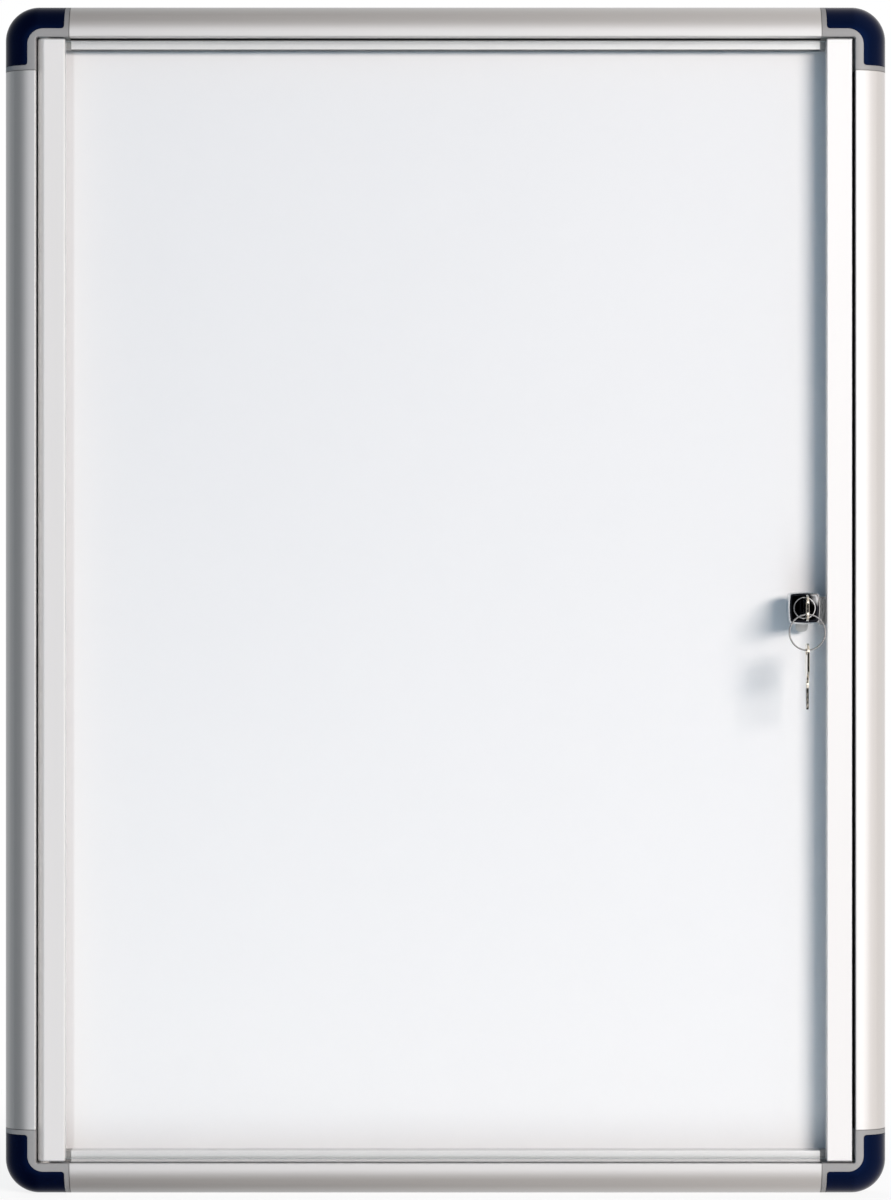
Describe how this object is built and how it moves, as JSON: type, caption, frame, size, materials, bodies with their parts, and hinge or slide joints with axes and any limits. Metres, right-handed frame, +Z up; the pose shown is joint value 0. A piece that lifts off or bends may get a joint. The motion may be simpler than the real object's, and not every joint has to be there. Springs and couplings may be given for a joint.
{
  "type": "lockable wall display case",
  "caption": "Shallow wall-mounted notice case: convex aluminium frame, white board and a clear side-hung door with a key-operated cam lock.",
  "frame": {"origin": "centre of the back plane, which lies on the wall, in the middle of the wall screw holes", "axes": "+Z up along the longer side, +X to the right seen from the front, +Y into the wall"},
  "size_m": [0.72, 0.0758, 0.97],
  "materials": {
    "rail_aluminium": "satin anodised, drawn lengthwise",
    "corner_grey_plastic": "moulded, metallic grey",
    "cap_blue_plastic": "moulded, dark blue",
    "board_white_lacquer": "smooth white lacquer",
    "board_core": "pressed fibre",
    "board_backing": "galvanised sheet",
    "bush_plastic": "natural nylon",
    "keeper_steel": "plated",
    "screw_steel": "zinc plated",
    "stile_aluminium": "pale satin anodised",
    "stile_end_plastic": "moulded grey",
    "clear_acrylic": "clear, polished",
    "bonding_tape": "pale foam",
    "pin_steel": "ground",
    "lock_chrome": "bright plated",
    "gasket_rubber": "black",
    "wafer_brass": "stamped",
    "key_nickel": "nickel plated, stamped",
    "ring_steel": "nickel plated spring steel"
  },
  "bodies": {
    "frame": {"frame_rail_left": "rail_aluminium", "frame_rail_top": "rail_aluminium", "frame_rail_right": "rail_aluminium", "frame_rail_bottom": "rail_aluminium", "corner_base_bottom_left": "corner_grey_plastic", "corner_cap_bottom_left": "cap_blue_plastic", "corner_base_top_left": "corner_grey_plastic", "corner_cap_top_left": "cap_blue_plastic", "corner_base_top_right": "corner_grey_plastic", "corner_cap_top_right": "cap_blue_plastic", "corner_base_bottom_right": "corner_grey_plastic", "corner_cap_bottom_right": "cap_blue_plastic", "corner_screws": "screw_steel", "board_face_sheet": "board_white_lacquer", "board_core": "board_core", "board_backing_sheet": "board_backing", "hinge_bush_top": "bush_plastic", "hinge_bush_bottom": "bush_plastic", "lock_keeper": "keeper_steel", "keeper_screws": "screw_steel"},
    "door": {"hinge_stile": "stile_aluminium", "closing_stile": "stile_aluminium", "hinge_stile_end_caps": "stile_end_plastic", "closing_stile_end_caps": "stile_end_plastic", "door_glazing": "clear_acrylic", "hinge_glazing_tape": "bonding_tape", "closing_glazing_tape": "bonding_tape", "hinge_pin_top": "pin_steel", "hinge_pin_bottom": "pin_steel", "lock_housing": "lock_chrome", "lock_gasket": "gasket_rubber", "lock_washer": "screw_steel", "lock_nut": "screw_steel"},
    "lock_cylinder": {"lock_plug": "lock_chrome", "lock_wafers": "wafer_brass", "lock_cam": "screw_steel", "cam_screw": "screw_steel"},
    "door_key": {"door_key": "key_nickel"},
    "key_ring": {"key_ring": "ring_steel"},
    "spare_key": {"spare_key": "key_nickel"}
  },
  "joints": [
    {"name": "door_swing", "type": "hinge", "parent": "frame", "child": "door", "pos_m": [-0.3267, -0.0262, 0], "axis": [0, 0, -1], "range_deg": [0, 94]},
    {"name": "lock_turn", "type": "hinge", "parent": "door", "child": "lock_cylinder", "pos_m": [0.2917, -0.042, -0.0065], "axis": [0, -1, 0], "range_deg": [0, 90]},
    {"name": "key_pull", "type": "slide", "parent": "lock_cylinder", "child": "door_key", "axis": [0, -1, 0], "range_m": [0, 0.025]},
    {"name": "ring_swing", "type": "hinge", "parent": "door_key", "child": "key_ring", "pos_m": [0.2917, -0.0653, -0.01173], "axis": [1, 0, 0], "range_deg": [-60, 12]},
    {"name": "spare_key_swing", "type": "hinge", "parent": "key_ring", "child": "spare_key", "pos_m": [0.2917, -0.0653, -0.04053], "axis": [1, 0, 0], "range_deg": [-45, 12]}
  ]
}
